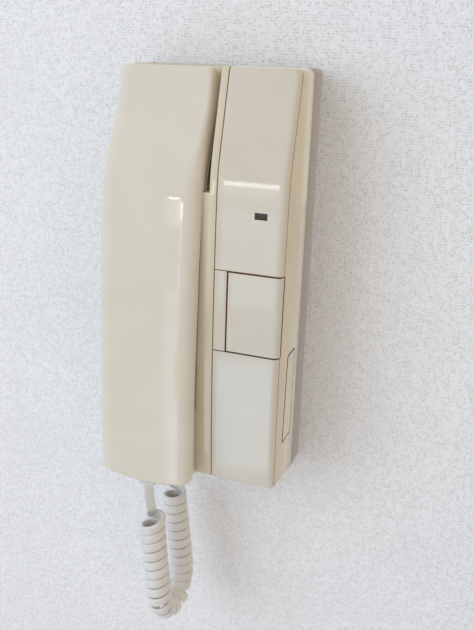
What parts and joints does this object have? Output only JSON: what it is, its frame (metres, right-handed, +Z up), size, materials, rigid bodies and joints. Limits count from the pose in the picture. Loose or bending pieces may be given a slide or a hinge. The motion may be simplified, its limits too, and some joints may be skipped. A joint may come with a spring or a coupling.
{
  "type": "wall door-intercom handset station",
  "caption": "Wall-mounted door-intercom station with a long arched handset on a cradle, a release button, a visitor lamp and a curly cord.",
  "frame": {"origin": "middle of the wall bracket on the wall plane, half way between its two fixing slots", "axes": "+Z up the wall, -Y out of the wall towards the user, +X to the right as the user sees it"},
  "size_m": [0.092, 0.063, 0.3152],
  "materials": {
    "cream_plastic": "glossy",
    "pale_plastic": "glossy",
    "handset_plastic": "glossy",
    "grey_plastic": "satin",
    "zinc_plate": "satin",
    "screw_steel": "satin",
    "spring_steel": "satin",
    "brass_screw": "satin",
    "black_plastic": "satin",
    "dark_lens": "glossy",
    "red_lens": "glossy",
    "green_board": "satin",
    "iron_core": "satin",
    "blue_sleeve": "glossy",
    "can_metal": "satin",
    "black_rubber": "matte",
    "cord_rubber": "matte",
    "cord_jacket": "satin"
  },
  "bodies": {
    "base": {"wall_bracket": "zinc_plate", "rear_case": "grey_plastic", "front_housing": "cream_plastic", "upper_panel": "cream_plastic", "lower_panel": "pale_plastic", "label_strip": "cream_plastic", "case_screws": "screw_steel", "button_springs": "spring_steel", "unlock_switch": "black_plastic", "lamp_lens": "dark_lens", "visitor_lamp": "red_lens", "hook_spring": "spring_steel", "hook_switch": "black_plastic", "panel_board": "green_board", "panel_board_screws": "screw_steel", "main_board": "green_board", "board_screws": "screw_steel", "terminal_block": "black_plastic", "terminal_screws": "brass_screw", "line_transformer": "iron_core", "board_capacitors": "blue_sleeve", "chime_speaker": "iron_core", "curly_cord": "cord_jacket", "base_tail": "cord_jacket", "base_relief": "cord_rubber"},
    "handset": {"handset_front_shell": "handset_plastic", "handset_back_shell": "handset_plastic", "handset_screws": "screw_steel", "ear_cap": "handset_plastic", "receiver_capsule": "black_plastic", "receiver_ring": "black_rubber", "microphone": "can_metal", "microphone_boot": "black_rubber", "handset_relief": "cord_rubber", "handset_tail": "cord_jacket"},
    "release_button": {"unlock_button": "pale_plastic"},
    "hook_plunger": {"hook_plunger": "pale_plastic"}
  },
  "joints": [
    {"name": "handset_lift", "type": "slide", "parent": "base", "child": "handset", "axis": [0, -0.866, 0.5], "range_m": [0, 0.07], "deforming": ["curly_cord"]},
    {"name": "unlock_press", "type": "slide", "parent": "base", "child": "release_button", "axis": [0, 1, 0], "range_m": [0, 0.0014], "stiffness_N_per_m": 600, "springref_m": -0.001, "deforming": ["button_springs"]},
    {"name": "hook_travel", "type": "slide", "parent": "base", "child": "hook_plunger", "axis": [0, -1, 0], "range_m": [0, 0.004], "deforming": ["hook_spring"]}
  ],
  "couplings": [
    {"joint": "hook_travel", "follows": "handset_lift", "ratio": 0.0571}
  ]
}
